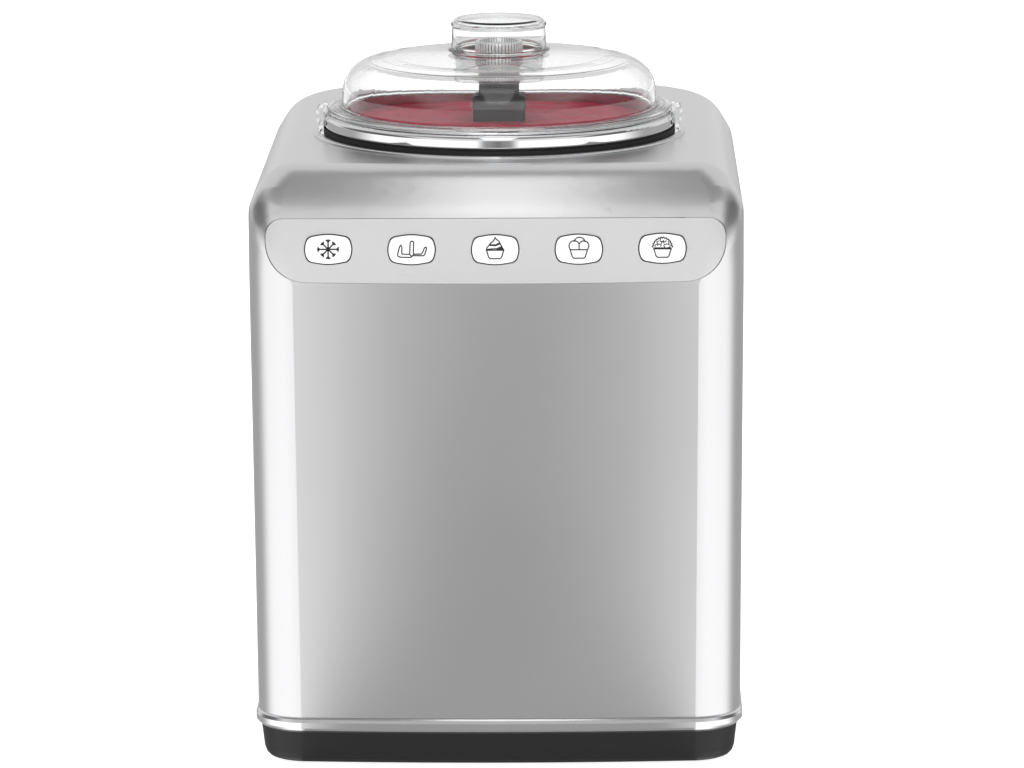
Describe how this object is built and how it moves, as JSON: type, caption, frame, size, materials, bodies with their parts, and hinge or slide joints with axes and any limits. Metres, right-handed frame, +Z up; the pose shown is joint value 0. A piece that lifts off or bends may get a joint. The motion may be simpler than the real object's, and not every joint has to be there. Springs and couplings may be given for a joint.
{
  "type": "ice cream maker",
  "caption": "Countertop compressor ice cream maker: satin metal tower, lift-out steel bowl under a clear domed lid, bottom-driven paddle, push-button panel.",
  "frame": {"origin": "on the table, under the middle of the base", "axes": "+Z up, front with the buttons towards -Y, +X to the right seen from the front"},
  "size_m": [0.26, 0.3566, 0.3814],
  "materials": {
    "satin_metal": "satin, silver",
    "polished_steel": "mirror polished stainless",
    "bowl_steel": "fine brushed stainless",
    "fascia_grey": "satin light grey lacquer",
    "button_white": "gloss white with black pictograms",
    "trim_metal": "polished silver",
    "base_black": "fine grain, near black",
    "rubber_black": "matt",
    "clear_plastic": "clear water-white plastic",
    "hub_plastic": "dark grey moulded",
    "nut_metal": "knurled, satin",
    "shaft_steel": "ground",
    "gear_steel": "oiled",
    "gear_nylon": "natural nylon",
    "cast_alloy": "die cast",
    "bronze": "sintered bronze",
    "copper": "drawn copper tube",
    "foam": "rigid foam",
    "black_steel": "gloss black paint",
    "zinc_steel": "zinc plated",
    "fin_aluminium": "mill",
    "board_green": "solder mask",
    "switch_black": "moulded"
  },
  "bodies": {
    "chassis": {"housing_shell": "satin_metal", "control_fascia": "fascia_grey", "control_board": "board_green", "tact_switches": "switch_black", "board_screws": "zinc_steel", "trim_ring": "trim_metal", "base_tray": "base_black", "rubber_feet": "rubber_black", "tray_screws": "zinc_steel", "rear_panel": "base_black", "rear_screws": "zinc_steel", "mains_gland": "rubber_black", "rocker_housing": "switch_black", "bowl_gasket": "rubber_black", "fixed_bowl": "polished_steel", "idler_axle": "shaft_steel", "gearbox_case": "cast_alloy", "gearbox_cover": "cast_alloy", "gearbox_posts": "zinc_steel", "gearbox_screws": "zinc_steel", "shaft_bushes": "bronze", "shaft_seal": "rubber_black", "drive_motor": "zinc_steel", "insulation_jacket": "foam", "evaporator_coil": "copper", "compressor": "black_steel", "compressor_bracket": "zinc_steel", "compressor_grommets": "rubber_black", "condenser_coil": "copper", "condenser_fins": "fin_aluminium", "fan_shroud": "base_black", "fan_motor": "black_steel", "discharge_line": "copper", "filter_drier": "copper", "liquid_line": "copper", "capillary_line": "copper", "suction_line": "copper", "power_board": "board_green"},
    "removable_bowl": {"removable_bowl": "bowl_steel"},
    "lid": {"lid": "clear_plastic"},
    "lid_cap": {"lid_cap": "clear_plastic"},
    "paddle": {"paddle": "hub_plastic"},
    "paddle_nut": {"paddle_nut": "nut_metal"},
    "drive_shaft": {"drive_shaft": "shaft_steel", "output_gear": "gear_steel"},
    "idler_gear": {"idler_gear": "gear_nylon"},
    "motor_pinion": {"motor_pinion": "gear_steel"},
    "power_rocker": {"power_rocker": "switch_black"},
    "fan_impeller": {"fan_impeller": "switch_black"},
    "button_cool": {"button_cool": "button_white"},
    "button_churn": {"button_churn": "button_white"},
    "button_gelato": {"button_gelato": "button_white"},
    "button_ice_cream": {"button_ice_cream": "button_white"},
    "button_granita": {"button_granita": "button_white"}
  },
  "joints": [
    {"name": "shaft_spin", "type": "hinge", "parent": "chassis", "child": "drive_shaft", "pos_m": [0, -0.032, 0.2528], "axis": [0, 0, 1], "continuous": true},
    {"name": "idler_spin", "type": "hinge", "parent": "chassis", "child": "idler_gear", "pos_m": [0, -0.0875, 0.1598], "axis": [0, 0, 1], "continuous": true},
    {"name": "pinion_spin", "type": "hinge", "parent": "chassis", "child": "motor_pinion", "pos_m": [0.0405, -0.0875, 0.1688], "axis": [0, 0, 1], "continuous": true},
    {"name": "bowl_lift", "type": "slide", "parent": "chassis", "child": "removable_bowl", "axis": [0, 0, 1], "range_m": [0, 0.16]},
    {"name": "lid_lift", "type": "slide", "parent": "removable_bowl", "child": "lid", "axis": [0, 0, 1], "range_m": [0, 0.12]},
    {"name": "cap_lift", "type": "slide", "parent": "lid", "child": "lid_cap", "axis": [0, 0, 1], "range_m": [0, 0.06]},
    {"name": "paddle_spin", "type": "hinge", "parent": "removable_bowl", "child": "paddle", "pos_m": [0, -0.032, 0.2528], "axis": [0, 0, 1], "continuous": true},
    {"name": "nut_lift", "type": "slide", "parent": "paddle", "child": "paddle_nut", "axis": [0, 0, 1], "range_m": [0, 0.009]},
    {"name": "button_cool_press", "type": "slide", "parent": "chassis", "child": "button_cool", "axis": [0, 0.9864, -0.1646], "range_m": [0, 0.0012], "stiffness_N_per_m": 300, "springref_m": -0.001},
    {"name": "button_churn_press", "type": "slide", "parent": "chassis", "child": "button_churn", "axis": [0, 0.9864, -0.1646], "range_m": [0, 0.0012], "stiffness_N_per_m": 300, "springref_m": -0.001},
    {"name": "button_gelato_press", "type": "slide", "parent": "chassis", "child": "button_gelato", "axis": [0, 0.9864, -0.1646], "range_m": [0, 0.0012], "stiffness_N_per_m": 300, "springref_m": -0.001},
    {"name": "button_ice_cream_press", "type": "slide", "parent": "chassis", "child": "button_ice_cream", "axis": [0, 0.9864, -0.1646], "range_m": [0, 0.0012], "stiffness_N_per_m": 300, "springref_m": -0.001},
    {"name": "button_granita_press", "type": "slide", "parent": "chassis", "child": "button_granita", "axis": [0, 0.9864, -0.1646], "range_m": [0, 0.0012], "stiffness_N_per_m": 300, "springref_m": -0.001},
    {"name": "rocker_tilt", "type": "hinge", "parent": "chassis", "child": "power_rocker", "pos_m": [0.02, 0.1715, 0.0608], "axis": [1, 0, 0], "range_deg": [0, 18]},
    {"name": "fan_spin", "type": "hinge", "parent": "chassis", "child": "fan_impeller", "pos_m": [0, 0.124, 0.0868], "axis": [0, 1, 0], "continuous": true}
  ],
  "couplings": [
    {"joint": "paddle_spin", "follows": "shaft_spin", "ratio": 1},
    {"joint": "idler_spin", "follows": "shaft_spin", "ratio": -4.2857},
    {"joint": "pinion_spin", "follows": "shaft_spin", "ratio": 15}
  ]
}
